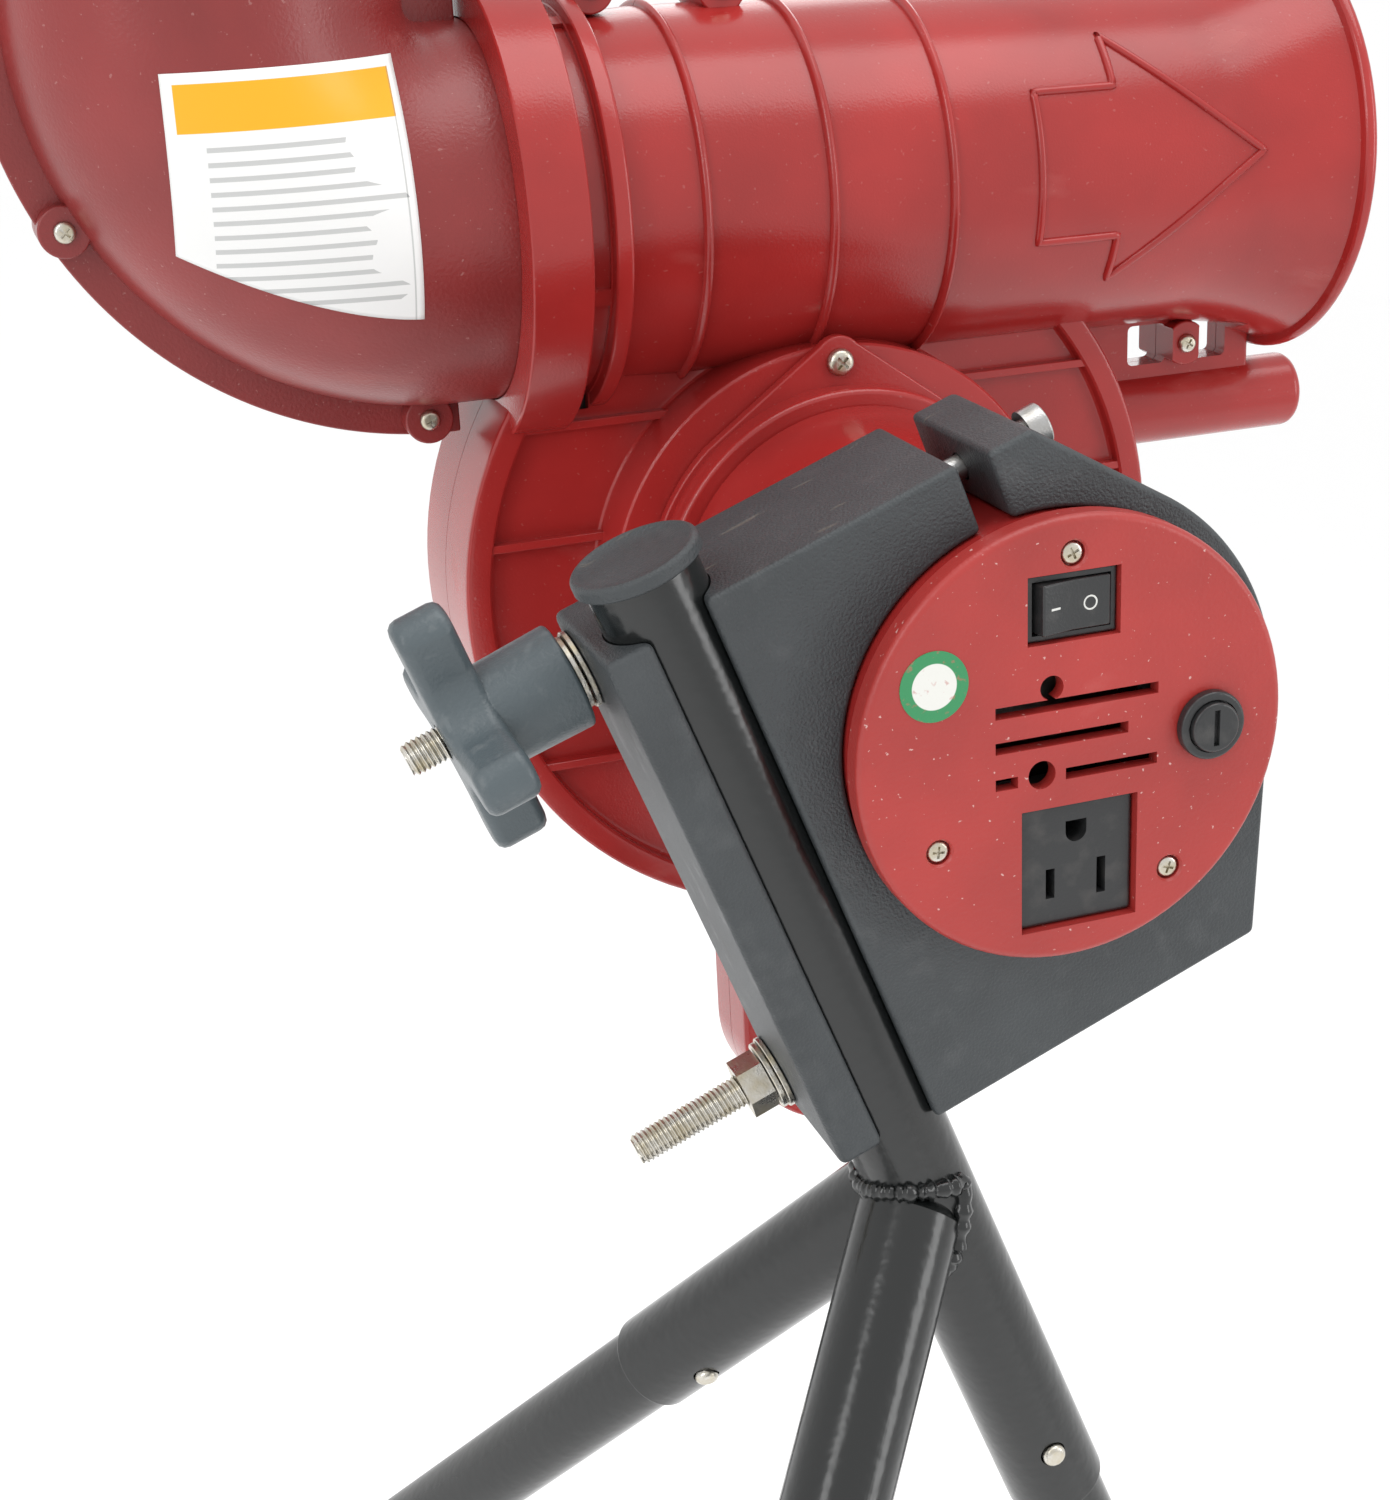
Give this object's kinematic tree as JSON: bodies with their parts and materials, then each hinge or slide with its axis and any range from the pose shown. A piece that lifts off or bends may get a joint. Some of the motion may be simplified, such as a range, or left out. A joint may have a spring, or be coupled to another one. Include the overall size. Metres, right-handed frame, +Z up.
{
  "type": "baseball pitching machine",
  "caption": "Baseball pitching machine: a single-wheel throwing head with barrel and feed elbow, clamped to the leaning post of a tripod.",
  "frame": {"origin": "middle of the bounding box on the ground, under the tripod", "axes": "+Z up, +X the way the ball is thrown, -Y the side with the motor's switch panel"},
  "size_m": [0.747, 0.8552, 0.9741],
  "materials": {
    "red_plastic": "satin moulded red with a fine texture",
    "panel_red": "speckled satin red",
    "black_plastic": "sandy matte black",
    "knob_plastic": "worn dark grey",
    "black_paint": "satin black enamel on steel tube",
    "zinc": "yellowish zinc plate",
    "steel": "plain steel",
    "tyre_rubber": "soft black rubber",
    "foot_rubber": "matte black rubber",
    "hub_metal": "cast, lightly machined"
  },
  "bodies": {
    "tripod": {"tripod_hub": "black_paint", "post_cap": "black_plastic", "front_leg": "black_paint", "front_foot": "foot_rubber", "rear_left_leg": "black_paint", "rear_left_foot": "foot_rubber", "rear_right_leg": "black_paint", "rear_right_foot": "foot_rubber"},
    "front_button": {"front_snap_button": "zinc"},
    "rear_left_button": {"rear_left_snap_button": "zinc"},
    "rear_right_button": {"rear_right_snap_button": "zinc"},
    "clamp": {"clamp_block": "black_plastic", "upper_stud": "zinc", "lower_stud": "zinc", "nut_inner_washer": "zinc", "nut_outer_washer": "zinc", "lower_nut": "zinc", "pinch_bolt": "steel"},
    "clamp_bar": {"clamp_bar": "black_plastic"},
    "knob_washers": {"knob_inner_washer": "zinc", "knob_outer_washer": "zinc"},
    "knob": {"star_knob": "knob_plastic"},
    "head": {"end_panel": "panel_red", "panel_screw_1": "zinc", "panel_screw_2": "zinc", "panel_screw_3": "zinc", "switch_body": "black_plastic", "power_outlet": "black_plastic", "fuse_holder": "black_plastic", "motor_case": "red_plastic", "motor_cover": "red_plastic", "cover_screw_1": "zinc", "cover_screw_2": "zinc", "cover_screw_3": "zinc", "motor": "steel", "near_shell": "red_plastic", "far_shell": "red_plastic", "shell_screw_1": "zinc", "shell_screw_2": "zinc", "shell_screw_3": "zinc", "shell_screw_4": "zinc", "near_elbow": "red_plastic", "far_elbow": "red_plastic", "elbow_screw_1": "zinc", "elbow_screw_2": "zinc", "elbow_screw_3": "zinc", "elbow_screw_4": "zinc"},
    "rocker": {"switch_rocker": "black_plastic"},
    "fuse_cap": {"fuse_cap": "black_plastic"},
    "wheel": {"motor_shaft": "steel", "wheel_hub": "hub_metal", "wheel_tyre": "tyre_rubber", "wheel_nut": "zinc"}
  },
  "joints": [
    {"name": "front_button_press", "type": "slide", "parent": "tripod", "child": "front_button", "axis": [0, 1, 0], "range_m": [0, 0.0034], "stiffness_N_per_m": 900},
    {"name": "rear_left_button_press", "type": "slide", "parent": "tripod", "child": "rear_left_button", "axis": [0, 0.8428, 0.5382], "range_m": [0, 0.0034], "stiffness_N_per_m": 900},
    {"name": "rear_right_button_press", "type": "slide", "parent": "tripod", "child": "rear_right_button", "axis": [0, 0.8428, -0.5382], "range_m": [0, 0.0034], "stiffness_N_per_m": 900},
    {"name": "clamp_swivel", "type": "hinge", "parent": "tripod", "child": "clamp", "pos_m": [-0.11739, 0, 0.66025], "axis": [-0.5934, 0, 0.8049], "range_deg": [-60, 45]},
    {"name": "knob_turn", "type": "hinge", "parent": "knob_washers", "child": "knob", "pos_m": [-0.23323, 0.0189, 0.76345], "axis": [-0.8049, 0, -0.5934], "range_deg": [0, 540]},
    {"name": "knob_travel", "type": "slide", "parent": "clamp", "child": "knob_washers", "axis": [-0.8049, 0, -0.5934], "range_m": [0, 0.00187]},
    {"name": "bar_open", "type": "hinge", "parent": "clamp", "child": "clamp_bar", "pos_m": [-0.15172, 0.0189, 0.67818], "axis": [0, -1, 0], "range_deg": [0, 0.93]},
    {"name": "head_tilt", "type": "hinge", "parent": "clamp", "child": "head", "pos_m": [-0.12129, -0.0245, 0.78013], "axis": [0, -1, 0], "range_deg": [-30, 45]},
    {"name": "rocker_tip", "type": "hinge", "parent": "head", "child": "rocker", "pos_m": [-0.13047, -0.0183, 0.81037], "axis": [-0.2723, 0, 0.9622], "range_deg": [-12, 0]},
    {"name": "fuse_cap_turn", "type": "hinge", "parent": "head", "child": "fuse_cap", "pos_m": [-0.08944, -0.0245, 0.78842], "axis": [0, -1, 0], "range_deg": [-90, 0]},
    {"name": "wheel_spin", "type": "hinge", "parent": "head", "child": "wheel", "pos_m": [-0.12129, 0.1495, 0.78013], "axis": [0, 1, 0], "continuous": true}
  ],
  "couplings": [
    {"joint": "knob_turn", "follows": "knob_travel", "rad_per_m": 5026.5},
    {"joint": "bar_open", "follows": "knob_travel", "rad_per_m": 8.547}
  ]
}
